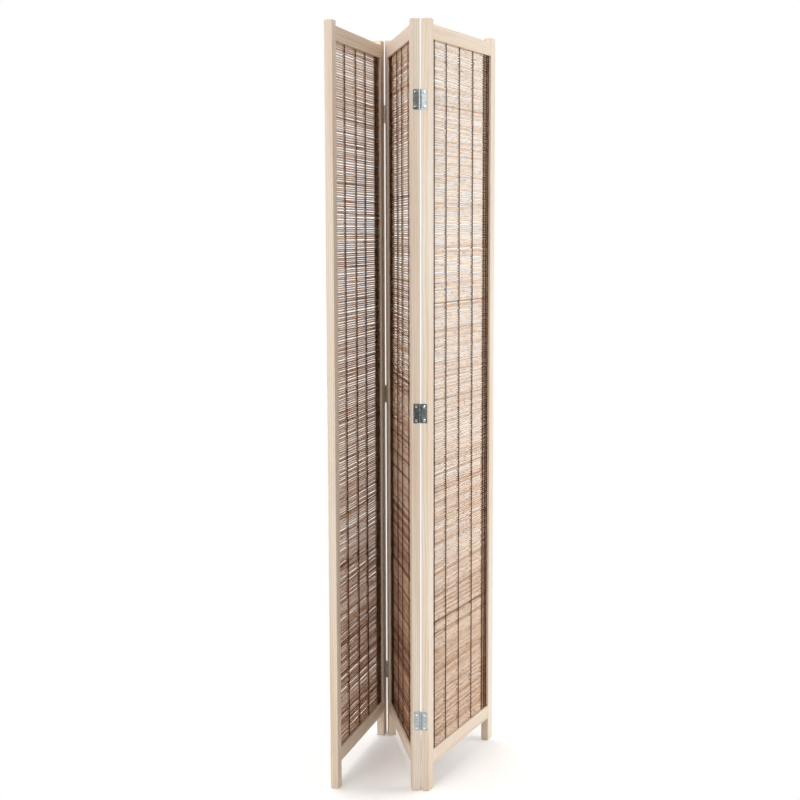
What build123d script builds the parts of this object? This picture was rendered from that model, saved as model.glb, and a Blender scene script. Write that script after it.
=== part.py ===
"""Reed folding screen: three framed panels that fold in a zigzag on butt hinges.

Each panel is a light wooden frame, two stiles and two rails joined by hidden dowels, round a mat
of reeds.  The reeds lie level, one above another, and are bound by upright cords.  Their ends sit
in grooves on the inner edges of the frame.  The stiles run past the rails, as horns above and as
legs below.  Three butt hinges join each pair of panels.  Their leaves lie on the outer edges of
the stiles.  The left fold has its pins at the front and the right fold has them at the back, so
the screen closes like a letter Z.

Millimetres.  +X is to the right, +Y is away from the viewer and +Z is up.  The origin is on the
floor, below the middle of the screen as it stands partly folded.
"""

import os

from build123d import *

# One panel's frame
PANEL_WIDTH = 400.0
PANEL_HEIGHT = 1800.0
STILE_WIDTH = 28.0
STILE_THICKNESS = 19.0
RAIL_HEIGHT = 33.0
RAIL_SETBACK = 0.5
HORN_HEIGHT = 12.0
LEG_HEIGHT = 60.0
EDGE_ROUND = 1.2
END_CHAMFER = 1.8

# The mat, and the groove round the inside of the frame that holds it
REED_DIAMETER = 4.4
REED_GAP = 0.9
CORD_WIDTH = 3.6
CORD_THICKNESS = 1.5
GROOVE_DEPTH = 8.0
GROOVE_PLAY = 0.2
MAT_HEAD_PLAY = 1.5
REED_END_PLAY = 1.0
GLUE_LINE_DEPTH = 3.0

# Where the cords divide each mat, as shares of the opening's width from its left side
CORD_SHARES = {
    "left": (0.03, 0.24, 0.48, 0.695, 0.93, 0.97),
    "middle": (0.04, 0.09, 0.33, 0.54, 0.82, 0.95),
    "right": (0.06, 0.255, 0.48, 0.715, 0.92, 0.965),
}

# Dowels at the corners of a frame, two in each
DOWEL_DIAMETER = 6.0
DOWEL_LENGTH = 36.0
DOWEL_HOLE_PLAY = 0.1
DOWEL_END_CHAMFER = 0.8

# Butt hinges: one below, one above, and one near the middle of the others
HINGE_HEIGHT = 45.0
HINGE_RISE = 172.0
HINGE_DROP = 180.0
CENTRE_HINGE_LIFT = 12.0
LEAF_THICKNESS = 1.2
LEAF_REACH = 16.0
LEAF_CORNER = 1.0
BARREL_RADIUS = 2.5
KNUCKLES = 5
KNUCKLE_GAP = 0.3
KNUCKLE_RELIEF = 0.4
PIN_PLAY = 0.05
PIN_END_PROUD = 0.5
PIN_PROUD_OF_FACE = 0.5

# Countersunk screws, two in each leaf
SCREW_SPACING = 32.0
SCREW_RADIUS = 1.5
SCREW_LENGTH = 14.0
SCREW_POINT = 4.0
SCREW_HEAD_RADIUS = 3.3
SCREW_HEAD_DOME = 0.5
SCREW_HOLE_PLAY = 0.05
RECESS_LENGTH = 3.4
RECESS_WIDTH = 0.8
RECESS_DEPTH = 1.1

# How the screen stands: the turn of the middle panel, and how far each fold is open
MIDDLE_TURN = -80.95
LEFT_FOLD_OPEN = 25.45
RIGHT_FOLD_OPEN = 34.85
FLAT = 180.0

LEFT, RIGHT = -1, 1
FRONT, BACK = -1, 1
HALF_WIDTH = PANEL_WIDTH / 2
HALF_STILE = STILE_THICKNESS / 2
RAIL_THICKNESS = STILE_THICKNESS - 2 * RAIL_SETBACK
WINDOW_WIDTH = PANEL_WIDTH - 2 * STILE_WIDTH
TOP_RAIL_TOP = PANEL_HEIGHT - HORN_HEIGHT
WINDOW_BOTTOM = LEG_HEIGHT + RAIL_HEIGHT
WINDOW_TOP = TOP_RAIL_TOP - RAIL_HEIGHT
GROOVE_WIDTH = REED_DIAMETER + 2 * CORD_THICKNESS + 2 * GROOVE_PLAY
GROOVE_BOTTOM = WINDOW_BOTTOM - GROOVE_DEPTH
GROOVE_TOP = WINDOW_TOP + GROOVE_DEPTH
REED_PITCH = REED_DIAMETER + REED_GAP
REED_LENGTH = WINDOW_WIDTH + 2 * (GROOVE_DEPTH - REED_END_PLAY)
REED_COUNT = int((GROOVE_TOP - GROOVE_BOTTOM - MAT_HEAD_PLAY - REED_DIAMETER) // REED_PITCH) + 1
MAT_HEIGHT = (REED_COUNT - 1) * REED_PITCH + REED_DIAMETER
MAT_MIDDLE = GROOVE_BOTTOM + MAT_HEIGHT / 2
PIN_RADIUS = BARREL_RADIUS - LEAF_THICKNESS - PIN_PLAY
PIN_OFFSET = HALF_STILE + PIN_PROUD_OF_FACE
SCREW_OFFSET = PIN_OFFSET - (BARREL_RADIUS + LEAF_REACH) / 2
LOWER_HINGE = HINGE_RISE
UPPER_HINGE = PANEL_HEIGHT - HINGE_DROP
HINGE_CENTRES = {
    "lower": LOWER_HINGE,
    "centre": (LOWER_HINGE + UPPER_HINGE) / 2 + CENTRE_HINGE_LIFT,
    "upper": UPPER_HINGE,
}
MIDDLE_KNUCKLES = range(0, KNUCKLES, 2)
SIDE_KNUCKLES = range(1, KNUCKLES, 2)


def dowel_places():
    """The corner dowels of a panel, as (side, height); two share the solid part of each rail."""
    quarter = (RAIL_HEIGHT - GROOVE_DEPTH) / 4
    heights = [LEG_HEIGHT + quarter, LEG_HEIGHT + 3 * quarter]
    heights += [TOP_RAIL_TOP - quarter, TOP_RAIL_TOP - 3 * quarter]
    return [(side, height) for side in (LEFT, RIGHT) for height in heights]


def dowel_holes():
    """One bar for each dowel hole, run through the joint between stile and rail."""
    radius = DOWEL_DIAMETER / 2 + DOWEL_HOLE_PLAY
    hole = Rot(0, 90, 0) * Cylinder(radius, DOWEL_LENGTH + 2 * DOWEL_HOLE_PLAY)
    return [Pos(side * WINDOW_WIDTH / 2, 0, height) * hole for side, height in dowel_places()]


def dowels():
    """The eight pegs of one frame."""
    peg = Cylinder(DOWEL_DIAMETER / 2, DOWEL_LENGTH)
    peg = Rot(0, 90, 0) * chamfer(peg.edges().filter_by(GeomType.CIRCLE), DOWEL_END_CHAMFER)
    return [Pos(side * WINDOW_WIDTH / 2, 0, height) * peg for side, height in dowel_places()]


def screw_places(face):
    """The screws on one edge of a panel, as (distance from the mid-plane, height)."""
    return [
        (face * SCREW_OFFSET, centre + step * SCREW_SPACING / 2)
        for centre in HINGE_CENTRES.values()
        for step in (-1, 1)
    ]


def stile(side, hinge_faces):
    """An upright of the frame; hinge_faces says which face's hinges are screwed to its edge."""
    post = Box(STILE_WIDTH, STILE_THICKNESS, PANEL_HEIGHT)
    ends = post.faces().sort_by(Axis.Z)
    post = chamfer(ends[0].edges() + ends[-1].edges(), END_CHAMFER)
    post = fillet(post.edges().filter_by(Axis.Z), EDGE_ROUND)
    post = Pos(side * (HALF_WIDTH - STILE_WIDTH / 2), 0, PANEL_HEIGHT / 2) * post
    groove = Box(GROOVE_DEPTH, GROOVE_WIDTH, GROOVE_TOP - GROOVE_BOTTOM)
    groove_middle = (GROOVE_TOP + GROOVE_BOTTOM) / 2
    post -= Pos(side * (WINDOW_WIDTH + GROOVE_DEPTH) / 2, 0, groove_middle) * groove
    post -= dowel_holes()
    pilot_depth = SCREW_LENGTH + SCREW_HOLE_PLAY
    pilot = Rot(0, 90, 0) * Cylinder(SCREW_RADIUS + SCREW_HOLE_PLAY, 2 * pilot_depth)
    for face in hinge_faces:
        post -= [
            Pos(side * HALF_WIDTH, depth, height) * pilot for depth, height in screw_places(face)
        ]
    return post


def rail(top):
    """A cross member; its groove opens towards the mat."""
    bar = Box(WINDOW_WIDTH, RAIL_THICKNESS, RAIL_HEIGHT)
    bar = fillet(bar.edges().filter_by(Axis.X), EDGE_ROUND)
    middle = TOP_RAIL_TOP - RAIL_HEIGHT / 2 if top else LEG_HEIGHT + RAIL_HEIGHT / 2
    mouth = (WINDOW_TOP + GROOVE_TOP) / 2 if top else (WINDOW_BOTTOM + GROOVE_BOTTOM) / 2
    bar = Pos(0, 0, middle) * bar
    bar -= Pos(0, 0, mouth) * Box(WINDOW_WIDTH, GROOVE_WIDTH, GROOVE_DEPTH)
    bar -= dowel_holes()
    return bar


def reed_mat():
    """All the reeds of a panel; the glue in the bottom of each stile's groove joins their ends."""
    reed = Rot(0, 90, 0) * Cylinder(REED_DIAMETER / 2, REED_LENGTH)
    first = GROOVE_BOTTOM + REED_DIAMETER / 2
    reeds = [Pos(0, 0, first + step * REED_PITCH) * reed for step in range(REED_COUNT)]
    glue = Box(GLUE_LINE_DEPTH, GROOVE_WIDTH, MAT_HEIGHT)
    glue_place = WINDOW_WIDTH / 2 + GROOVE_DEPTH - GLUE_LINE_DEPTH / 2
    left_glue, right_glue = [Pos(side * glue_place, 0, MAT_MIDDLE) * glue for side in (LEFT, RIGHT)]
    return left_glue.fuse(right_glue, *reeds)


def mat_cords(shares):
    """The cords, each a strand on the front of the reeds and a strand on the back."""
    strand = Box(CORD_WIDTH, CORD_THICKNESS, MAT_HEIGHT)
    depth = (REED_DIAMETER + CORD_THICKNESS) / 2
    return [
        Pos((share - 0.5) * WINDOW_WIDTH, face * depth, MAT_MIDDLE) * strand
        for share in shares
        for face in (FRONT, BACK)
    ]


def axis_place(side, face):
    """Where the hinge pins of one edge stand, in the panel's own frame."""
    return side * (HALF_WIDTH + BARREL_RADIUS), face * PIN_OFFSET


def hinge_leaf(side, face, centre, owned):
    """A leaf screwed to the panel's edge; owned lists the knuckles that it carries."""
    axis_x, axis_y = axis_place(side, face)
    plate_x = side * (HALF_WIDTH + LEAF_THICKNESS / 2)
    plate = Box(LEAF_THICKNESS, LEAF_REACH, HINGE_HEIGHT)
    free_end = 0 if face == BACK else -1
    plate = fillet(plate.edges().filter_by(Axis.X).group_by(Axis.Y)[free_end], LEAF_CORNER)
    leaf = Pos(plate_x, axis_y - face * LEAF_REACH / 2, centre) * plate
    step = (HINGE_HEIGHT + KNUCKLE_GAP) / KNUCKLES
    knuckle = Cylinder(BARREL_RADIUS, step - KNUCKLE_GAP)
    relief_width = 2 * (BARREL_RADIUS + KNUCKLE_RELIEF)
    relief = Box(relief_width, relief_width, step + KNUCKLE_GAP)
    first = centre - (KNUCKLES - 1) * step / 2
    for number in range(KNUCKLES):
        place = Pos(axis_x, axis_y, first + number * step)
        if number in owned:
            leaf += place * knuckle
        else:
            leaf -= place * relief
    leaf -= Pos(axis_x, axis_y, centre) * Cylinder(PIN_RADIUS + PIN_PLAY, 2 * HINGE_HEIGHT)
    hole_radius = SCREW_RADIUS + SCREW_HOLE_PLAY
    seat_radius = SCREW_HEAD_RADIUS + SCREW_HOLE_PLAY
    seat = Rot(0, side * 90, 0) * Cone(hole_radius, seat_radius, LEAF_THICKNESS)
    for end in (-1, 1):
        leaf -= Pos(plate_x, face * SCREW_OFFSET, centre + end * SCREW_SPACING / 2) * seat
    return leaf


def hinge_pin(side, face, centre):
    """The pin of one hinge, with a small chamfer at each end."""
    axis_x, axis_y = axis_place(side, face)
    pin = Cylinder(PIN_RADIUS, HINGE_HEIGHT + 2 * PIN_END_PROUD)
    pin = chamfer(pin.edges().filter_by(GeomType.CIRCLE), PIN_END_PROUD)
    return Pos(axis_x, axis_y, centre) * pin


def screw():
    """A countersunk wood screw with a domed head; its neck is at z = 0 and its point is below."""
    crown = LEAF_THICKNESS + SCREW_HEAD_DOME
    shaft = Polyline(
        (0, -SCREW_LENGTH),
        (SCREW_RADIUS, -SCREW_LENGTH + SCREW_POINT),
        (SCREW_RADIUS, 0),
        (SCREW_HEAD_RADIUS, LEAF_THICKNESS),
    )
    shoulder = (SCREW_HEAD_RADIUS / 2, LEAF_THICKNESS + SCREW_HEAD_DOME * 3 / 4)
    dome = ThreePointArc((SCREW_HEAD_RADIUS, LEAF_THICKNESS), shoulder, (0, crown))
    outline = shaft + dome + Line((0, crown), (0, -SCREW_LENGTH))
    body = revolve(Plane.XZ * make_face(outline), Axis.Z)
    slot = Pos(0, 0, crown) * Box(RECESS_LENGTH, RECESS_WIDTH, 2 * RECESS_DEPTH)
    return body - slot - Rot(0, 0, 90) * slot


def hinge_screws(side, face):
    """The screws that hold the leaves of one fold to one edge of a panel."""
    turned = Rot(0, side * 90, 0) * screw()
    return [Pos(side * HALF_WIDTH, depth, height) * turned for depth, height in screw_places(face)]


def one_node(pieces):
    """Several separate solids as one compound."""
    return Compound([solid for piece in pieces for solid in piece.solids()])


def side_panel(name, mat, hinge_side, face):
    """The left or right panel, hinged along one edge, in its own frame."""
    parts = {
        f"{name}_outer_stile": stile(-hinge_side, ()),
        f"{name}_hinge_stile": stile(hinge_side, (face,)),
        f"{name}_top_rail": rail(True),
        f"{name}_bottom_rail": rail(False),
        f"{name}_reed_mat": mat,
        f"{name}_mat_cords": one_node(mat_cords(CORD_SHARES[name])),
        f"{name}_dowels": one_node(dowels()),
        f"{name}_hinge_screws": one_node(hinge_screws(hinge_side, face)),
    }
    for level, centre in HINGE_CENTRES.items():
        leaf = hinge_leaf(hinge_side, face, centre, SIDE_KNUCKLES)
        parts[f"{name}_{level}_hinge_side_leaf"] = leaf
    return parts


def middle_panel(mat):
    """The middle panel: pins at the front on its left edge and at the back on its right edge."""
    parts = {
        "middle_left_stile": stile(LEFT, (FRONT,)),
        "middle_right_stile": stile(RIGHT, (BACK,)),
        "middle_top_rail": rail(True),
        "middle_bottom_rail": rail(False),
        "middle_reed_mat": mat,
        "middle_mat_cords": one_node(mat_cords(CORD_SHARES["middle"])),
        "middle_dowels": one_node(dowels()),
    }
    for name, side, face in (("left", LEFT, FRONT), ("right", RIGHT, BACK)):
        parts[f"middle_{name}_hinge_screws"] = one_node(hinge_screws(side, face))
        for level, centre in HINGE_CENTRES.items():
            leaf = hinge_leaf(side, face, centre, MIDDLE_KNUCKLES)
            parts[f"{name}_{level}_hinge_middle_leaf"] = leaf
            parts[f"{name}_{level}_hinge_pin"] = hinge_pin(side, face, centre)
    return parts


def folded(hinge_side, face, open_angle):
    """Where a side panel stands in the middle panel's frame, folded about the shared pins."""
    own_x, own_y = axis_place(hinge_side, face)
    shared_x, shared_y = axis_place(-hinge_side, face)
    return Pos(shared_x, shared_y, 0) * Rot(0, 0, FLAT - open_angle) * Pos(-own_x, -own_y, 0)


def screen():
    """Every sub-part in its place, by name, and the two fold axes."""
    mat = reed_mat()
    turn = Rot(0, 0, MIDDLE_TURN)
    groups = [
        (side_panel("left", mat, RIGHT, FRONT), turn * folded(RIGHT, FRONT, LEFT_FOLD_OPEN)),
        (middle_panel(mat), turn),
        (side_panel("right", mat, LEFT, BACK), turn * folded(LEFT, BACK, RIGHT_FOLD_OPEN)),
    ]
    placed = {name: place * part for parts, place in groups for name, part in parts.items()}
    boxes = [
        part.bounding_box() for name, part in placed.items() if name.endswith(("stile", "leaf"))
    ]
    middle_x = (min(box.min.X for box in boxes) + max(box.max.X for box in boxes)) / 2
    middle_y = (min(box.min.Y for box in boxes) + max(box.max.Y for box in boxes)) / 2
    to_origin = Pos(-middle_x, -middle_y, 0)
    axes = {
        "left": (to_origin * turn * Pos(*axis_place(LEFT, FRONT), 0)).position,
        "right": (to_origin * turn * Pos(*axis_place(RIGHT, BACK), 0)).position,
    }
    return {name: to_origin * part for name, part in placed.items()}, axes


def main():
    os.makedirs("parts", exist_ok=True)
    parts, axes = screen()
    for name, part in parts.items():
        export_step(part, f"parts/{name}.step")
    for name, place in axes.items():
        print(f"{name} fold axis at x {place.X:.4f}, y {place.Y:.4f}")
    print(f"{len(parts)} sub-parts, {REED_COUNT} reeds in each mat")


if __name__ == "__main__":
    main()
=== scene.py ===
import math

import bpy
import numpy as np
from mathutils import Matrix, Vector


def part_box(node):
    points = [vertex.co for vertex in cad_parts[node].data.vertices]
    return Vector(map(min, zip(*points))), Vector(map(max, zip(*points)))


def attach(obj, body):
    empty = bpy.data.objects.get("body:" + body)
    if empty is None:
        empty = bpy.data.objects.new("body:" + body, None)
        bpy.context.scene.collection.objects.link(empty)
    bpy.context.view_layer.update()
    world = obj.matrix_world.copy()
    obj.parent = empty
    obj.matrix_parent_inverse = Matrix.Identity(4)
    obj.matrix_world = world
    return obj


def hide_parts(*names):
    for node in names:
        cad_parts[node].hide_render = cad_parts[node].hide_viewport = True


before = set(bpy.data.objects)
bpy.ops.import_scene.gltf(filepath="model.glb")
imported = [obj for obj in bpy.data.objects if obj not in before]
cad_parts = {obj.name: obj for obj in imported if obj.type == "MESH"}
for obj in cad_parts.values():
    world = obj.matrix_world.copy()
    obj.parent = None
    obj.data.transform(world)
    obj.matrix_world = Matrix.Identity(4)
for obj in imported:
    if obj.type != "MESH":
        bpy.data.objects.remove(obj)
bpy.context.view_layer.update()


# Panels
# The screen is three equal frames, hinged edge to edge.  Each has its own directions, which every
# later piece is set out by: along runs from left stile to right, through from front to back.
PANELS = ("left", "middle", "right")
UP = np.array((0.0, 0.0, 1.0))


def points_of(node):
    """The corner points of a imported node, one row each."""
    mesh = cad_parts[node].data
    points = np.empty(len(mesh.vertices) * 3)
    mesh.vertices.foreach_get("co", points)
    return points.reshape(-1, 3)


def panel_axes(name):
    """A panel's centre on the floor, its along direction and its through direction.

    A rail is symmetrical, so the middle of its box is the panel's centre and the longest
    direction of its points about that middle is the panel's along direction.
    """
    floor_points = points_of(f"{name}_top_rail")[:, :2]
    centre = (floor_points.min(axis=0) + floor_points.max(axis=0)) / 2
    along = np.linalg.svd(floor_points - centre, full_matrices=False)[2][0]
    along = along * np.sign(along[0])
    return (
        np.array((*centre, 0.0)),
        np.array((*along, 0.0)),
        np.array((-along[1], along[0], 0.0)),
    )


axes_of = {name: panel_axes(name) for name in PANELS}


# Stiles
# Six upright lengths of straight-grained pale softwood, planed, with their edges just broken.  The
# wood is bare, so it is nearly matt, and each length was cut from another place in the log.
def new_material(name):
    """A node material: the material, its Principled shader, and functions to add and join nodes."""
    material = bpy.data.materials.new(name)
    material.use_nodes = True
    tree = material.node_tree

    def add(kind, settings=None, **inputs):
        """A node with its settings; each input, named or numbered by in_0, is a value or a link."""
        node = tree.nodes.new(kind)
        for key, value in (settings or {}).items():
            setattr(node, key, value)
        for key, value in inputs.items():
            name_or_number = int(key[3:]) if key.startswith("in_") else key.replace("_", " ")
            socket = node.inputs[name_or_number]
            if isinstance(value, bpy.types.NodeSocket):
                tree.links.new(value, socket)
            else:
                socket.default_value = value
        return node

    return material, tree.nodes["Principled BSDF"], add, tree.links.new


def colour(red, green, blue):
    """A display colour from 0 to 255 as the linear colour that a shader takes."""
    display = np.array((red, green, blue)) / 255
    linear = np.where(display <= 0.04045, display / 12.92, ((display + 0.055) / 1.055) ** 2.4)
    return (*linear.tolist(), 1.0)


def ramp(add, factor, stops):
    """A straight-line colour ramp through (place, colour) stops."""
    node = add("ShaderNodeValToRGB", Fac=factor)
    while len(node.color_ramp.elements) < len(stops):
        node.color_ramp.elements.new(0.5)
    for element, (place, shade) in zip(node.color_ramp.elements, stops):
        element.position = place
        element.color = shade
    return node.outputs["Color"]


def grey(value):
    """A grey from 0 to 1 for a ramp that carries a number."""
    return (value, value, value, 1.0)


def mixed(add, factor, first, second, blend="MIX"):
    """Two colours mixed by a factor."""
    node = add("ShaderNodeMix", {"data_type": "RGBA", "blend_type": blend}, in_0=factor)
    for number, value in ((6, first), (7, second)):
        if isinstance(value, bpy.types.NodeSocket):
            node.id_data.links.new(value, node.inputs[number])
        else:
            node.inputs[number].default_value = value
    return node.outputs[2]


WOOD_LIGHT = colour(240, 229, 214)
WOOD_CREAM = colour(234, 218, 199)
WOOD_TAN = colour(222, 200, 177)
WOOD_PINK = colour(229, 204, 188)
RING_LINE = colour(206, 180, 152)
RING_SPACING = 0.0042
WAVE_TURNS_PER_METRE = 20 / (2 * math.pi)
PITH_ASIDE = (0.03, 0.07)
PITH_BEHIND = (0.02, 0.05)
RING_WANDER = 0.034
FIBRE_SHOWS = 0.55
FIBRE_RELIEF = 0.0003


def wood_material(name, centre, across, deep, grain, draw):
    """Bare softwood whose rings are cylinders about a pith beside the piece, drifting slowly.

    The piece's own directions are across, deep and grain.  A point's distance from the pith, plus a
    slow wander along the grain, sets the ring it lies in.
    """
    material, shader, add, link = new_material(name)
    turned = Matrix((across, deep, grain)).transposed().to_euler()
    place = add("ShaderNodeTexCoord").outputs["Object"]
    own = add(
        "ShaderNodeMapping", {"vector_type": "TEXTURE"},
        Vector=place, Location=tuple(centre), Rotation=tuple(turned),
    ).outputs["Vector"]
    start = draw.uniform(-3, 3)
    moved = add("ShaderNodeVectorMath", {"operation": "ADD"}, in_0=own, in_1=(start, start, start))

    def stretched(sideways, lengthways):
        """The piece's own place, scaled across and along the grain."""
        node = add("ShaderNodeVectorMath", {"operation": "MULTIPLY"},
                   in_0=moved.outputs[0], in_1=(sideways, sideways, lengthways))
        return node.outputs[0]

    def noise(vector, detail=2.0, roughness=0.5):
        """A noise number at a scaled place."""
        node = add("ShaderNodeTexNoise",
                   Vector=vector, Scale=1.0, Detail=detail, Roughness=roughness)
        return node.outputs["Fac"]

    drift = add("ShaderNodeTexNoise", Vector=stretched(4.0, 1.1), Scale=1.0, Detail=1.5)
    wander = add("ShaderNodeVectorMath", {"operation": "MULTIPLY_ADD"},
                 in_0=drift.outputs["Color"], in_1=(RING_WANDER, RING_WANDER, 0.0), in_2=own)
    pith = (draw.uniform(*PITH_ASIDE) * draw.choice((-1, 1)), draw.uniform(*PITH_BEHIND), 0.0)
    from_pith = add("ShaderNodeVectorMath", {"operation": "ADD"}, in_0=wander.outputs[0], in_1=pith)
    rings = add(
        "ShaderNodeTexWave",
        {"wave_type": "RINGS", "rings_direction": "Z", "wave_profile": "SAW"},
        Vector=from_pith.outputs[0], Scale=1 / (RING_SPACING * WAVE_TURNS_PER_METRE),
        Distortion=0.8, Detail=1.0, Detail_Scale=0.5,
    ).outputs["Fac"]
    ring_line = ramp(add, rings, [(0.45, grey(0.0)), (0.90, grey(0.42)), (0.97, grey(0.05))])
    broad = noise(stretched(34.0, 1.6))
    tone = ramp(add, broad, [(0.30, WOOD_LIGHT), (0.52, WOOD_CREAM), (0.74, WOOD_TAN)])
    heart = noise(stretched(58.0, 2.3), detail=3.0)
    heart_part = ramp(add, heart, [(0.56, grey(0.0)), (0.74, grey(0.55))])
    fibre = noise(stretched(1500.0, 26.0), detail=3.0, roughness=0.6)
    fibre_part = ramp(add, fibre, [(0.30, grey(0.80)), (0.70, grey(1.0))])
    with_heart = mixed(add, heart_part, tone, WOOD_PINK)
    with_rings = mixed(add, ring_line, with_heart, RING_LINE)
    finished = mixed(add, FIBRE_SHOWS, with_rings, fibre_part, "MULTIPLY")
    link(finished, shader.inputs["Base Color"])
    link(ramp(add, fibre, [(0.2, grey(0.50)), (0.8, grey(0.64))]), shader.inputs["Roughness"])
    shader.inputs["Specular IOR Level"].default_value = 0.35
    bump = add("ShaderNodeBump", Strength=0.25, Distance=FIBRE_RELIEF, Height=fibre)
    link(bump.outputs["Normal"], shader.inputs["Normal"])
    return material


def dress(node, material):
    """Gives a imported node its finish."""
    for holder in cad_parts[node].material_slots:
        holder.material = material


def middle_of(node):
    """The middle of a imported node's box."""
    low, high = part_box(node)
    return (low + high) / 2


STILES = {
    "left": ("outer_stile", "hinge_stile"),
    "middle": ("left_stile", "right_stile"),
    "right": ("hinge_stile", "outer_stile"),
}
timber_draw = np.random.default_rng(41)
for panel, stiles in STILES.items():
    _, along, _ = axes_of[panel]
    for stile in stiles:
        node = f"{panel}_{stile}"
        bark_side = along * timber_draw.choice((-1, 1))
        other_side = np.cross(UP, bark_side)
        dress(node, wood_material(
            f"wood_{node}", middle_of(node), bark_side, other_side, UP, timber_draw))


# Rails
# A top and a bottom cross member join each pair of stiles.  They are the same wood with the grain
# running level, and they meet the stiles on hidden dowels.
for panel in PANELS:
    _, along, _ = axes_of[panel]
    for rail in ("top_rail", "bottom_rail"):
        node = f"{panel}_{rail}"
        front_side = np.cross(along, UP)
        dress(node, wood_material(
            f"wood_{node}", middle_of(node), UP, front_side, along, timber_draw))


# Dowels
# Beech pegs, glued across each joint of the frame.  They are out of sight once it is closed.
def dowel_material():
    """Beech: a warm tan with the short dark flecks of its rays."""
    material, shader, add, link = new_material("dowel_beech")
    place = add("ShaderNodeTexCoord").outputs["Object"]
    fleck = add("ShaderNodeTexNoise", Vector=place, Scale=900.0, Detail=3.0).outputs["Fac"]
    shades = [(0.35, colour(196, 158, 116)), (0.60, colour(214, 180, 140))]
    link(ramp(add, fleck, shades), shader.inputs["Base Color"])
    shader.inputs["Roughness"].default_value = 0.55
    return material


beech = dowel_material()
for panel in PANELS:
    dress(f"{panel}_dowels", beech)


# Reed mats
# Each panel holds a mat of whole reeds, cut to length and laid level.  No two are alike in
# thickness, and each bends a little and swells where a leaf once grew.  They are straw to brown.
REED_PITCH = 0.0053
REED_DIAMETER = {"left": 0.0040, "middle": 0.0040, "right": 0.0043}
REED_SIDES = 6
REED_FLATNESS = 0.98
GROOVE_END_PLAY = 0.001
MAT_SEEDS = {"left": 7, "middle": 19, "right": 5}

# How unlike each other the reeds are: the spreads and the limits of their draws, in metres
THICKNESS_SPREAD = 0.00040
THINNER_BY = 0.0006
THICKER_BY = 0.0009
GAP_SPREAD = 0.00042
LEAST_GAP = 0.00005
WIDEST_GAP = 0.0023
SLANT_SPREAD = 0.00045
BOW_SPREAD = 0.00035
WAVE_SPREAD = 0.00022
LARGEST_RISE = 0.0014
DEPTH_SPREAD = 0.00012
DEPTH_WAVE = 0.0001
LEAST_STEP = 1e-5

# A kink is a slope, a wave's turns are radians in half a reed, and taper and swell are shares of
# a reed's radius
KINK_SPREAD = 0.0022
WAVE_TURNS = (3.0, 7.0)
TAPER_SPREAD = 0.04
JOINT_SWELL = 0.10

# Where a reed's joints and its spare rings lie, as shares of half its length.  Past PLAIN_BEYOND
# no joint shows.
FIRST_JOINT = (-0.9, 0.2)
SPARE_RINGS_WITHIN = (-0.95, 0.95)
SPARE_RINGS = 3
PLAIN_BEYOND = 0.97

# How far a joint's outer rings are from its middle one and how far on the next joint is, in
# metres, and which rings are the middle ones
JOINT_REACH = 0.0035
NEXT_JOINT = (0.12, 0.24)
JOINT_COLUMNS = (3, 6)

# Tones run from 0, straw, to 1, dark brown.  They deepen towards the foot of a mat, partly the
# reeds' own colour and partly painted shade, most in the middle mat at the bottom of the fold.
# Stains start so many metres from the middle of a reed, at its right end where the sign is 1.
TONE_SHAPE = (1.8, 2.8)
# Partly painted shade: the left and middle mats, in the shaded fold, get a wider spread towards
# brown than the lit right mat
TONE_SPREAD_AND_SHADE = {"left": 0.74, "middle": 0.72, "right": 0.44}
TONE_LOWERED = 0.10
TONE_LIMIT = 0.60
# Partly painted shade: how far each mat darkens towards its foot, most in the middle mat deep in
# the fold
FOOT_TONE_AND_SHADE = {"left": 0.14, "middle": 0.40, "right": 0.22}
FOOT_POWER = 1.5
DARK_SHARE = 0.03
DARKER_BY = 0.24
STREAK_SHIFT = 90
BLOTCH_TONE = 0.46
STREAK_SHOWS = 0.85
STAINED_END = {"left": 1.0, "middle": -1.0, "right": 1.0}
STAIN_START = 0.151
STAIN_FULL = 0.160
STAIN_RAGGED = 0.030
STAIN_SHOWS = 0.72


def mat_space(panel):
    """A mat's lowest and highest point and half its length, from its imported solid."""
    centre, along, _ = axes_of[panel]
    points = points_of(f"{panel}_reed_mat")
    half = np.abs((points - centre) @ along).max() - GROOVE_END_PLAY
    return points[:, 2].min(), points[:, 2].max(), half


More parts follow.
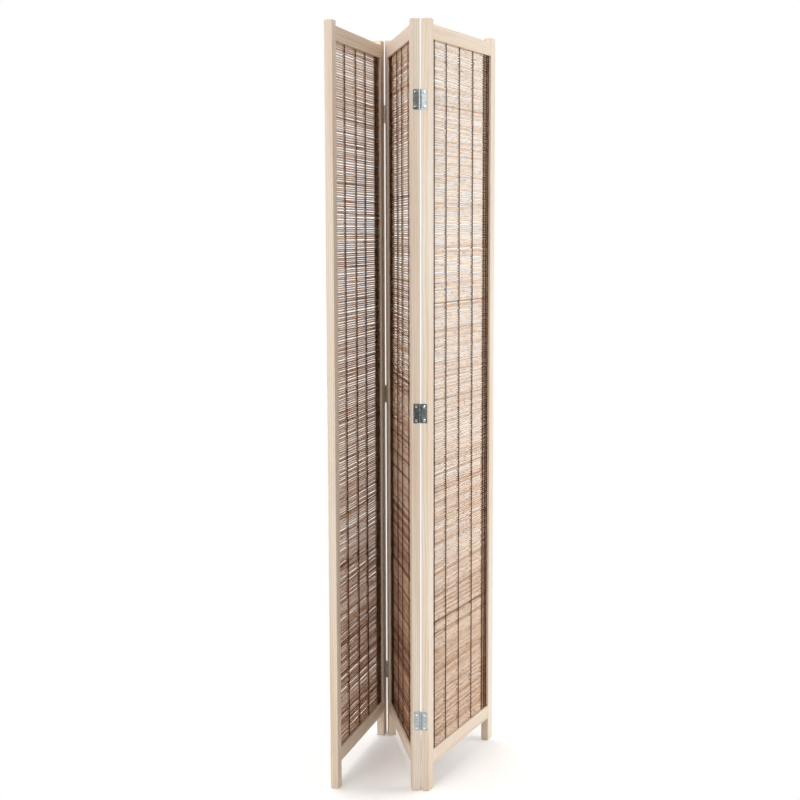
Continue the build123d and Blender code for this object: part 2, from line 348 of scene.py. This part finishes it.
def lay_reeds(panel, draw):
    """The centre line of every reed: places along it, heights, depths, radii and joint marks.

    Heights are a running sum of uneven thicknesses and gaps, scaled to fill the mat.  To them
    each reed adds a slant, a bow, a slow wave and a kink at its joint.  Its rings are its two
    ends, three at each of two joints, where it swells, and a few spare ones, sorted along it.
    """
    low, high, half = mat_space(panel)
    usual = REED_DIAMETER[panel]
    count = int(round((high - low - usual) / REED_PITCH)) + 1
    thick = draw.normal(usual, THICKNESS_SPREAD, count)
    thick = np.clip(thick, usual - THINNER_BY, usual + THICKER_BY)
    gap = np.clip(draw.normal(REED_PITCH - usual, GAP_SPREAD, count), LEAST_GAP, WIDEST_GAP)
    steps = (thick[1:] + thick[:-1]) / 2 + gap[1:]
    room = high - low - (thick[0] + thick[-1]) / 2
    middle = low + thick[0] / 2 + np.concatenate(([0.0], np.cumsum(steps) * room / steps.sum()))
    joint = draw.uniform(*FIRST_JOINT, (count, 1)) * half
    second = joint + draw.uniform(*NEXT_JOINT, (count, 1))
    near_joint = np.array((-JOINT_REACH, 0.0, JOINT_REACH))
    spare = np.sort(draw.uniform(*SPARE_RINGS_WITHIN, (count, SPARE_RINGS)) * half, axis=1)
    ends = np.broadcast_to((-half, half), (count, 2))
    places = np.concatenate((ends, joint + near_joint, second + near_joint, spare), axis=1)
    marks = np.zeros_like(places)
    marks[:, JOINT_COLUMNS] = 1.0
    marks[np.abs(places) > PLAIN_BEYOND * half] = 0.0
    places = np.clip(places, -half, half)
    order = np.argsort(places, axis=1, kind="stable")
    places = np.take_along_axis(places, order, axis=1)
    marks = np.take_along_axis(marks, order, axis=1)
    places += np.linspace(-LEAST_STEP, LEAST_STEP, places.shape[1])
    share = places / half
    slant = draw.normal(0.0, SLANT_SPREAD, (count, 1))
    bow = draw.normal(0.0, BOW_SPREAD, (count, 1))
    wave = draw.normal(0.0, WAVE_SPREAD, (count, 1))
    turns = draw.uniform(*WAVE_TURNS, (count, 1))
    phase = draw.uniform(0, 2 * np.pi, (count, 1))
    kink = draw.normal(0.0, KINK_SPREAD, (count, 1))
    rise = slant * share + bow * (1 - share**2) + wave * np.sin(turns * share + phase)
    rise += kink * (np.abs(places - joint) - half / 2)
    heights = middle[:, None] + np.clip(rise, -LARGEST_RISE, LARGEST_RISE)
    depths = draw.normal(0.0, DEPTH_SPREAD, (count, 1)) + DEPTH_WAVE * np.sin(2.0 * share + phase)
    taper = 1 + draw.normal(0.0, TAPER_SPREAD, (count, 1)) * share
    radii = thick[:, None] / 2 * taper * (1 + JOINT_SWELL * marks)
    heights = np.clip(heights, low + radii + LEAST_STEP, high - radii - LEAST_STEP)
    return places, heights, depths, radii, marks


def in_row(panel, along_place, through_place, height):
    """A panel's own coordinates turned into the shared frame."""
    centre, along, through = axes_of[panel]
    flat = along_place[..., None] * along + through_place[..., None] * through
    return centre + flat + height[..., None] * UP


def tube_faces(rows, rings, sides):
    """The faces of many closed tubes: four-sided walls, then one cap at each end of each tube."""
    starts = np.arange(rows)[:, None] * rings * sides
    row = starts[:, :, None]
    ring = np.arange(rings - 1)[None, :, None] * sides
    side = np.arange(sides)[None, None, :]
    nearby = (side + 1) % sides
    near, far = row + ring, row + ring + sides
    walls = np.stack((near + side, near + nearby, far + nearby, far + side), axis=-1)
    first = starts + np.arange(sides)[None, ::-1]
    last = starts + (rings - 1) * sides + np.arange(sides)[None, :]
    return walls.reshape(-1, 4), np.concatenate((first, last))


def tube_object(name, points, uv_u, uv_v, material):
    """A mesh object of many tubes, from points by tube, ring and side, with a UV map.

    The map's first number is the place along the tube and its second is the place round it, in
    turns.  A wall that crosses the seam counts on into the next turn.
    """
    rows, rings, sides, _ = points.shape
    walls, caps = tube_faces(rows, rings, sides)
    faces = np.concatenate((walls.ravel(), caps.ravel()))
    wall_starts = np.arange(len(walls)) * 4
    cap_starts = walls.size + np.arange(len(caps)) * sides
    starts = np.concatenate((wall_starts, cap_starts))
    mesh = bpy.data.meshes.new(name)
    mesh.vertices.add(rows * rings * sides)
    mesh.vertices.foreach_set("co", points.reshape(-1))
    mesh.loops.add(len(faces))
    mesh.loops.foreach_set("vertex_index", faces)
    mesh.polygons.add(len(starts))
    mesh.polygons.foreach_set("loop_start", starts)
    smooth = np.concatenate((np.ones(len(walls), bool), np.zeros(len(caps), bool)))
    mesh.polygons.foreach_set("use_smooth", smooth)
    side_share = np.broadcast_to(np.arange(sides) / sides, (rows, rings, sides))
    u_all = np.broadcast_to(uv_u[..., None], (rows, rings, sides)).reshape(-1)[faces]
    v_all = (uv_v[:, None, None] + side_share).reshape(-1)[faces]
    wall_v = v_all[: walls.size].reshape(-1, 4)
    wall_v[:, 1:3] += (wall_v[:, 1:3] < wall_v[:, 0:1] - 0.5 / sides) * 1.0
    layer = mesh.uv_layers.new(name="surface")
    layer.data.foreach_set("uv", np.stack((u_all, v_all), axis=-1).reshape(-1))
    mesh.update(calc_edges=True)
    mesh.materials.append(material)
    piece = bpy.data.objects.new(name, mesh)
    bpy.context.scene.collection.objects.link(piece)
    return piece


def tube_points(panel, along_place, height, depth, radius_up, radius_out, sides):
    """Rings of points round level reeds: each is an ellipse square to the panel's along way."""
    angle = np.arange(sides) / sides * 2 * np.pi + np.pi / 2
    out = -np.sin(angle) * radius_out[..., None]
    up = np.cos(angle) * radius_up[..., None]
    level = np.broadcast_to(along_place[..., None], out.shape)
    return in_row(panel, level, depth[..., None] + out, height[..., None] + up)


def point_number(mesh, name, values):
    """Stores one number for each point of a mesh, for its material to read."""
    layer = mesh.attributes.new(name, "FLOAT", "POINT")
    layer.data.foreach_set("value", np.ascontiguousarray(values, dtype=np.float32).reshape(-1))


def reed_material():
    """Dried reed: a straw to brown tone for each stem, fine streaks, blotches and dark joints.

    Beside the stiles of the left fold, and beside the right stile of the right panel, the stems
    are stained a mottled brown, with a ragged edge.
    """
    material, shader, add, link = new_material("reed_stems")
    tone = add("ShaderNodeAttribute", {"attribute_name": "tone"}).outputs["Fac"]
    joint = add("ShaderNodeAttribute", {"attribute_name": "joint"}).outputs["Fac"]
    stained_end = add("ShaderNodeAttribute", {"attribute_name": "stained_end"}).outputs["Fac"]
    surface = add("ShaderNodeUVMap", {"uv_map": "surface"}).outputs["UV"]

    def scaled(lengthways, around):
        """The place on the stem, scaled along it and round it."""
        node = add("ShaderNodeVectorMath", {"operation": "MULTIPLY"},
                   in_0=surface, in_1=(lengthways, around, 1.0))
        return node.outputs[0]

    def noise(vector, detail, roughness=0.5):
        """A noise number at a scaled place."""
        node = add("ShaderNodeTexNoise",
                   Vector=vector, Scale=1.0, Detail=detail, Roughness=roughness)
        return node.outputs["Fac"]

    streak = noise(scaled(16.0, 9.0), 3.0)
    blotch = noise(scaled(34.0, 1.3), 4.0, roughness=0.6)
    fleck = noise(scaled(52.0, 4.0), 2.5)
    speck = noise(scaled(420.0, 5.0), 2.0)
    mottled = add("ShaderNodeMath", {"operation": "MULTIPLY_ADD"},
                  in_0=blotch, in_1=BLOTCH_TONE, in_2=tone)
    base = ramp(add, mottled.outputs[0], [
        (0.15, colour(252, 238, 222)),
        (0.36, colour(243, 220, 198)),
        (0.56, colour(224, 189, 158)),
        (0.75, colour(192, 144, 108)),
        (0.90, colour(146, 97, 64)),
        (1.00, colour(98, 62, 40)),
    ])
    lined = ramp(add, streak, [(0.30, grey(0.55)), (0.50, grey(1.0)), (0.78, grey(0.90))])
    streaked = mixed(add, STREAK_SHOWS, base, lined, "MULTIPLY")
    fleck_part = ramp(add, fleck, [(0.59, grey(0.0)), (0.68, grey(0.85))])
    flecked = mixed(add, fleck_part, streaked, colour(118, 78, 54))
    speck_part = ramp(add, speck, [(0.60, grey(0.0)), (0.70, grey(0.55))])
    specked = mixed(add, speck_part, flecked, colour(140, 100, 74))
    along_place = add("ShaderNodeSeparateXYZ", Vector=surface).outputs["X"]
    towards_end = add("ShaderNodeMath", {"operation": "MULTIPLY"},
                      in_0=along_place, in_1=stained_end)
    ragged = add("ShaderNodeMath", {"operation": "MULTIPLY_ADD"},
                 in_0=blotch, in_1=STAIN_RAGGED, in_2=towards_end.outputs[0])
    near_end = add("ShaderNodeMapRange", {"interpolation_type": "SMOOTHSTEP"},
                   Value=ragged.outputs[0], From_Min=STAIN_START, From_Max=STAIN_FULL,
                   To_Max=STAIN_SHOWS).outputs["Result"]
    stained = mixed(add, near_end, specked, colour(142, 96, 56))
    joint_part = ramp(add, joint, [(0.25, grey(0.0)), (1.0, grey(0.70))])
    finished = mixed(add, joint_part, stained, colour(104, 68, 46))
    link(finished, shader.inputs["Base Color"])
    link(ramp(add, blotch, [(0.3, grey(0.38)), (0.7, grey(0.56))]), shader.inputs["Roughness"])
    shader.inputs["Specular IOR Level"].default_value = 0.45
    bump = add("ShaderNodeBump", Strength=0.35, Distance=0.0003, Height=streak)
    link(bump.outputs["Normal"], shader.inputs["Normal"])
    return material


reed_finish = reed_material()
reeds_of = {}
for panel in PANELS:
    draw = np.random.default_rng(MAT_SEEDS[panel])
    places, heights, depths, radii, marks = lay_reeds(panel, draw)
    reeds_of[panel] = (places, heights, radii)
    count = len(places)
    deep = radii * REED_FLATNESS
    stems = tube_points(panel, places, heights, depths, radii, deep, REED_SIDES)
    shifts = draw.uniform(0, STREAK_SHIFT, count)
    mat = tube_object(f"{panel}_reeds", stems, places, shifts, reed_finish)
    # Tones deepen towards each mat's foot, partly the reeds' own colour and partly painted shade of
    # the fold
    share_down = 1 - np.linspace(0, 1, count)[:, None]
    # The wider tone spread of the left and middle mats is partly random reed colour and partly
    # painted shade
    tone = draw.beta(*TONE_SHAPE, (count, 1)) * TONE_SPREAD_AND_SHADE[panel] - TONE_LOWERED
    tone = np.clip(tone, 0.0, TONE_LIMIT) + FOOT_TONE_AND_SHADE[panel] * share_down**FOOT_POWER
    dark = draw.random((count, 1)) < DARK_SHARE
    tone = np.where(dark, tone + DARKER_BY, tone)
    point_number(mat.data, "tone", np.broadcast_to(tone[..., None], stems.shape[:3]))
    point_number(mat.data, "joint", np.broadcast_to(marks[..., None], stems.shape[:3]))
    point_number(mat.data, "stained_end", np.full(stems.shape[:3], STAINED_END[panel]))
    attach(mat, f"{panel}_panel")
    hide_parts(f"{panel}_reed_mat")


# Binding cords
# Six dark twisted cords run up each mat.  Each is a pair of yarns that change places between every
# two reeds, so that one lies in front of a reed and the other behind it.
CORD_WIDTH = 0.0036
YARN_RADIUS = 0.00105
YARN_SWING = 0.00055
YARN_SIDES = 5
STEPS_PER_REED = 6
YARN_PRESS = 0.70
YARN_SQUARED_OFF = 0.7
YARN_WIDE, YARN_WIDE_LOSS = 1.8, 0.80
YARN_THIN, YARN_THIN_LOSS = 0.95, 0.35
WANDER_POINTS = 14
WANDER_SPREAD = 0.0005
YARN_SHIFTS = (0.0, 7.0)
CORD_SEED_STEP = 100


def cord_places(panel):
    """How far along the panel each cord runs: the middle of each group of packed points.

    The points are sorted along the panel, and a step wider than a cord starts a new group.
    """
    centre, along, _ = axes_of[panel]
    places = np.sort((points_of(f"{panel}_mat_cords") - centre) @ along)
    groups = np.split(places, np.flatnonzero(np.diff(places) > CORD_WIDTH * 1.2) + 1)
    return [(group[0] + group[-1]) / 2 for group in groups]


def at_place(places, values, place):
    """Each reed's value at one place along the panel, on the straight line between its rings."""
    before = np.clip((places < place).sum(axis=1) - 1, 0, places.shape[1] - 2)[:, None]
    near, far = (np.take_along_axis(places, before + step, axis=1) for step in (0, 1))
    low, high = (np.take_along_axis(values, before + step, axis=1) for step in (0, 1))
    return (low + (high - low) * (place - near) / (far - near))[:, 0]


def yarn_path(panel, cord_place, side, draw):
    """The middle line of one yarn, as places along and through the panel and heights.

    Counted in reeds, the yarn's depth follows a cosine that changes sign at every reed, squared
    off a little, and its sideways place follows the matching sine.
    """
    places, heights, radii = reeds_of[panel]
    count = len(places)
    turn = np.arange(count * STEPS_PER_REED - STEPS_PER_REED + 1) / STEPS_PER_REED
    height = np.interp(turn, np.arange(count), at_place(places, heights, cord_place))
    reach = np.interp(turn, np.arange(count), at_place(places, radii, cord_place))
    reach += YARN_RADIUS * YARN_PRESS
    swing = np.cos(np.pi * turn)
    depth = -side * reach * np.sign(swing) * np.abs(swing) ** YARN_SQUARED_OFF
    strays = draw.normal(0.0, WANDER_SPREAD, WANDER_POINTS)
    wander = np.interp(turn, np.linspace(0, count, WANDER_POINTS), strays)
    sway = cord_place + wander + side * YARN_SWING * np.sin(np.pi * turn)
    return sway, depth, height


def yarn_points(panel, sway, depth, height):
    """Rings round a yarn, square to its path, pinched where it slips between two reeds."""
    path = in_row(panel, sway, depth, height)
    ahead = np.gradient(path, axis=0)
    ahead /= np.linalg.norm(ahead, axis=1, keepdims=True)
    _, along, _ = axes_of[panel]
    sideways = along - ahead * (ahead @ along)[:, None]
    sideways /= np.linalg.norm(sideways, axis=1, keepdims=True)
    outwards = np.cross(ahead, sideways)
    angle = np.arange(YARN_SIDES) / YARN_SIDES * 2 * np.pi
    between = 1 - np.clip(np.abs(depth) / np.abs(depth).max(), 0, 1)
    wide = YARN_RADIUS * (YARN_WIDE - YARN_WIDE_LOSS * between)
    thin = YARN_RADIUS * (YARN_THIN - YARN_THIN_LOSS * between)
    ring = (sideways[:, None, :] * (np.cos(angle) * wide[:, None])[..., None]
            + outwards[:, None, :] * (np.sin(angle) * thin[:, None])[..., None])
    return path[:, None, :] + ring


def cord_material():
    """Dark brown twine: slanting plies with pale broken fibres."""
    material, shader, add, link = new_material("binding_twine")
    surface = add("ShaderNodeUVMap", {"uv_map": "surface"}).outputs["UV"]
    lay = add("ShaderNodeVectorMath", {"operation": "MULTIPLY"},
              in_0=surface, in_1=(620.0, 3.0, 1.0))
    plies = add("ShaderNodeTexWave", {"bands_direction": "DIAGONAL"},
                Vector=lay.outputs[0], Scale=0.32, Distortion=1.2, Detail=2.0).outputs["Fac"]
    fibre = add("ShaderNodeTexNoise", Vector=lay.outputs[0], Scale=2.2, Detail=3.0).outputs["Fac"]
    shades = [(0.15, colour(34, 19, 12)), (0.60, colour(66, 38, 25)), (0.95, colour(100, 64, 43))]
    base = ramp(add, plies, shades)
    pale_part = ramp(add, fibre, [(0.62, grey(0.0)), (0.80, grey(0.55))])
    link(mixed(add, pale_part, base, colour(168, 130, 100)), shader.inputs["Base Color"])
    shader.inputs["Roughness"].default_value = 0.85
    shader.inputs["Specular IOR Level"].default_value = 0.12
    bump = add("ShaderNodeBump", Strength=0.6, Distance=0.0003, Height=plies)
    link(bump.outputs["Normal"], shader.inputs["Normal"])
    return material


twine = cord_material()
for panel in PANELS:
    draw = np.random.default_rng(MAT_SEEDS[panel] + CORD_SEED_STEP)
    for number, cord_place in enumerate(cord_places(panel), start=1):
        paths = [yarn_path(panel, cord_place, side, draw) for side in (-1, 1)]
        yarns = np.stack([yarn_points(panel, *path) for path in paths])
        heights = np.stack([path[2] for path in paths])
        cord = tube_object(
            f"{panel}_cord_{number}", yarns, heights, np.array(YARN_SHIFTS), twine)
        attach(cord, f"{panel}_panel")
        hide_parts(f"{panel}_mat_cords")


# Butt hinges
# Three pressed steel hinges hold each two panels together.  They are zinc plated, so they are
# bright with a faint cloudy spangle, and rubbed a little along their length.
def zinc_material(name, shade_low, shade_high, rough_low, rough_high):
    """Zinc plate: cloudy grey metal, finely rubbed up and down."""
    material, shader, add, link = new_material(name)
    place = add("ShaderNodeTexCoord").outputs["Object"]
    cloud = add("ShaderNodeTexNoise", Vector=place, Scale=160.0, Detail=3.0).outputs["Fac"]
    rubbed = add("ShaderNodeVectorMath", {"operation": "MULTIPLY"},
                 in_0=place, in_1=(2600.0, 2600.0, 60.0))
    rub = add("ShaderNodeTexNoise", Vector=rubbed.outputs[0], Scale=1.0, Detail=2.0).outputs["Fac"]
    link(ramp(add, cloud, [(0.30, shade_low), (0.70, shade_high)]), shader.inputs["Base Color"])
    roughness = [(0.3, grey(rough_low)), (0.7, grey(rough_high))]
    blurred = mixed(add, 0.5, ramp(add, cloud, roughness), ramp(add, rub, roughness))
    link(blurred, shader.inputs["Roughness"])
    shader.inputs["Metallic"].default_value = 1.0
    bump = add("ShaderNodeBump", Strength=0.12, Distance=0.0001, Height=rub)
    link(bump.outputs["Normal"], shader.inputs["Normal"])
    return material


leaf_zinc = zinc_material(
    "zinc_leaves", colour(168, 176, 178), colour(192, 197, 196), rough_low=0.20, rough_high=0.34)
pin_zinc = zinc_material(
    "zinc_pins", colour(186, 188, 190), colour(208, 210, 211), rough_low=0.16, rough_high=0.28)
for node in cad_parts:
    if node.endswith("_leaf"):
        dress(node, leaf_zinc)
    elif node.endswith("_pin"):
        dress(node, pin_zinc)


# Hinge screws
# Two small countersunk cross-head screws fix each leaf.  They are plated too, and brighter than the
# leaves because their heads are turned.
screw_zinc = zinc_material(
    "zinc_screws", colour(214, 216, 218), colour(236, 238, 239), rough_low=0.14, rough_high=0.26)
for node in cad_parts:
    if node.endswith("_hinge_screws"):
        dress(node, screw_zinc)


# Floor and studio
# A plain pale floor takes the screen's soft shadow, under large soft lamps and an even white
# surround.  The surround is dimmer in front of the screen, where the room is.
FLOOR_RADIUS = 2.6
FLOOR_CORNERS = 96
SHADOW_RADIUS = 0.28
CLEAR_RADIUS = 0.63
FLOOR_WHITE = colour(254, 254, 254)
FLOOR_BOUNCE = colour(222, 219, 214)


def floor_object():
    """A flat round sheet at floor level: its corners are even steps round a circle."""
    turn = np.arange(FLOOR_CORNERS) / FLOOR_CORNERS * 2 * np.pi
    corners = np.stack((np.cos(turn), np.sin(turn), np.zeros_like(turn)), axis=-1) * FLOOR_RADIUS
    mesh = bpy.data.meshes.new("studio_floor")
    mesh.from_pydata(corners.tolist(), [], [tuple(range(FLOOR_CORNERS))])
    floor = bpy.data.objects.new("studio_floor", mesh)
    bpy.context.scene.collection.objects.link(floor)
    return floor


def floor_material():
    """White paper: it keeps the shadow near the screen and is plain white further off."""
    material, shader, add, link = new_material("floor_paper")
    shader.inputs["Roughness"].default_value = 0.9
    shader.inputs["Specular IOR Level"].default_value = 0.1
    place = add("ShaderNodeTexCoord").outputs["Object"]
    reach = add("ShaderNodeVectorMath", {"operation": "LENGTH"}, in_0=place).outputs["Value"]
    far = add("ShaderNodeMapRange", {"interpolation_type": "SMOOTHSTEP"},
              Value=reach, From_Min=SHADOW_RADIUS, From_Max=CLEAR_RADIUS).outputs["Result"]
    path = add("ShaderNodeLightPath")
    seen = add("ShaderNodeMath", {"operation": "MAXIMUM"},
               in_0=path.outputs["Is Camera Ray"], in_1=path.outputs["Is Glossy Ray"])
    seen = add("ShaderNodeMath", {"operation": "MAXIMUM"},
               in_0=seen.outputs[0], in_1=path.outputs["Is Transmission Ray"])
    link(mixed(add, seen.outputs[0], FLOOR_BOUNCE, FLOOR_WHITE), shader.inputs["Base Color"])
    white_part = add("ShaderNodeMath", {"operation": "MULTIPLY"}, in_0=far, in_1=seen.outputs[0])
    white = add("ShaderNodeEmission", Color=(1.0, 1.0, 1.0, 1.0), Strength=1.0)
    both = add("ShaderNodeMixShader", in_0=white_part.outputs[0], in_1=shader.outputs[0],
               in_2=white.outputs[0])
    link(both.outputs[0], material.node_tree.nodes["Material Output"].inputs["Surface"])
    return material


floor = floor_object()
floor.data.materials.append(floor_material())


def surround():
    """The world: white to the camera, and dimmer towards the front in what shines and in the
    light that it gives."""
    world = bpy.data.worlds.new("studio_surround")
    bpy.context.scene.world = world
    world.use_nodes = True
    nodes, links = world.node_tree.nodes, world.node_tree.links
    nodes.clear()
    out = nodes.new("ShaderNodeOutputWorld")
    path = nodes.new("ShaderNodeLightPath")
    place = nodes.new("ShaderNodeTexCoord")
    split = nodes.new("ShaderNodeSeparateXYZ")
    links.new(place.outputs["Generated"], split.inputs[0])

    def level(way, start, end, low, high):
        """A number that rises from low to high as a direction's way goes from start to end."""
        node = nodes.new("ShaderNodeMapRange")
        node.interpolation_type = "SMOOTHSTEP"
        node.inputs["From Min"].default_value = start
        node.inputs["From Max"].default_value = end
        node.inputs["To Max"].default_value = high
        if isinstance(low, float):
            node.inputs["To Min"].default_value = low
        else:
            links.new(low, node.inputs["To Min"])
        links.new(split.outputs[way], node.inputs["Value"])
        return node.outputs["Result"]

    def larger(first, second):
        """The larger of two numbers."""
        node = nodes.new("ShaderNodeMath")
        node.operation = "MAXIMUM"
        links.new(first, node.inputs[0])
        links.new(second, node.inputs[1])
        return node.outputs[0]

    lit = nodes.new("ShaderNodeBackground")
    lit.inputs["Color"].default_value = (1.0, 0.99, 0.98, 1.0)
    strength = level("Y", start=-0.80, end=0.10, low=0.34, high=0.66)
    links.new(strength, lit.inputs["Strength"])
    white = nodes.new("ShaderNodeBackground")
    white.inputs["Color"].default_value = (1.0, 1.0, 1.0, 1.0)
    room = level("Z", start=-0.03, end=0.10, low=0.06, high=0.42)
    shining = level("Y", start=-0.70, end=0.10, low=room, high=1.0)
    links.new(larger(path.outputs["Is Camera Ray"], shining), white.inputs["Strength"])
    shown = larger(path.outputs["Is Glossy Ray"], path.outputs["Is Transmission Ray"])
    both = nodes.new("ShaderNodeMixShader")
    links.new(larger(path.outputs["Is Camera Ray"], shown), both.inputs[0])
    links.new(lit.outputs[0], both.inputs[1])
    links.new(white.outputs[0], both.inputs[2])
    links.new(both.outputs[0], out.inputs["Surface"])


surround()


def soft_lamp(name, place, aim, size, power, tint):
    """A square area lamp at a place, turned towards an aim."""
    data = bpy.data.lights.new(name, "AREA")
    data.shape = "SQUARE"
    data.size = size
    data.energy = power
    data.color = tint
    lamp = bpy.data.objects.new(name, data)
    bpy.context.scene.collection.objects.link(lamp)
    lamp.location = place
    lamp.rotation_euler = (Vector(aim) - Vector(place)).to_track_quat("-Z", "Y").to_euler()


soft_lamp("lamp_right", place=(3.4, 0.2, 1.2), aim=(0.1, 0.0, 1.0), size=1.9, power=62.0,
          tint=(1.0, 0.99, 0.985))
soft_lamp("lamp_left", place=(-1.7, -3.4, 2.4), aim=(-0.1, 0.0, 1.1), size=2.8, power=84.0,
          tint=(1.0, 0.99, 0.98))
soft_lamp("lamp_above", place=(-0.3, 0.3, 4.0), aim=(0.0, 0.0, 0.9), size=2.2, power=78.0,
          tint=(1.0, 1.0, 1.0))


# Camera
# It stands where the photograph was taken from: a little over chest height, tipped slightly down.
CAMERA_PLACE = (-0.0354, -3.3881, 1.3266)
CAMERA_TIP = math.radians(6.917)
CAMERA_ROLL = math.radians(-0.162)
SENSOR = 36.0
FOCAL_PIXELS = 1393.88
FRAME_PIXELS = 800

lens = bpy.data.cameras.new("camera")
lens.sensor_width = SENSOR
lens.lens = FOCAL_PIXELS / FRAME_PIXELS * SENSOR
camera = bpy.data.objects.new("camera", lens)
bpy.context.scene.collection.objects.link(camera)
tipped = Matrix.Rotation(math.pi / 2 - CAMERA_TIP, 4, "X")
rolled = Matrix.Rotation(CAMERA_ROLL, 4, "Z")
camera.matrix_world = Matrix.Translation(CAMERA_PLACE) @ tipped @ rolled
bpy.context.scene.camera = camera
bpy.context.scene.view_settings.view_transform = "Standard"
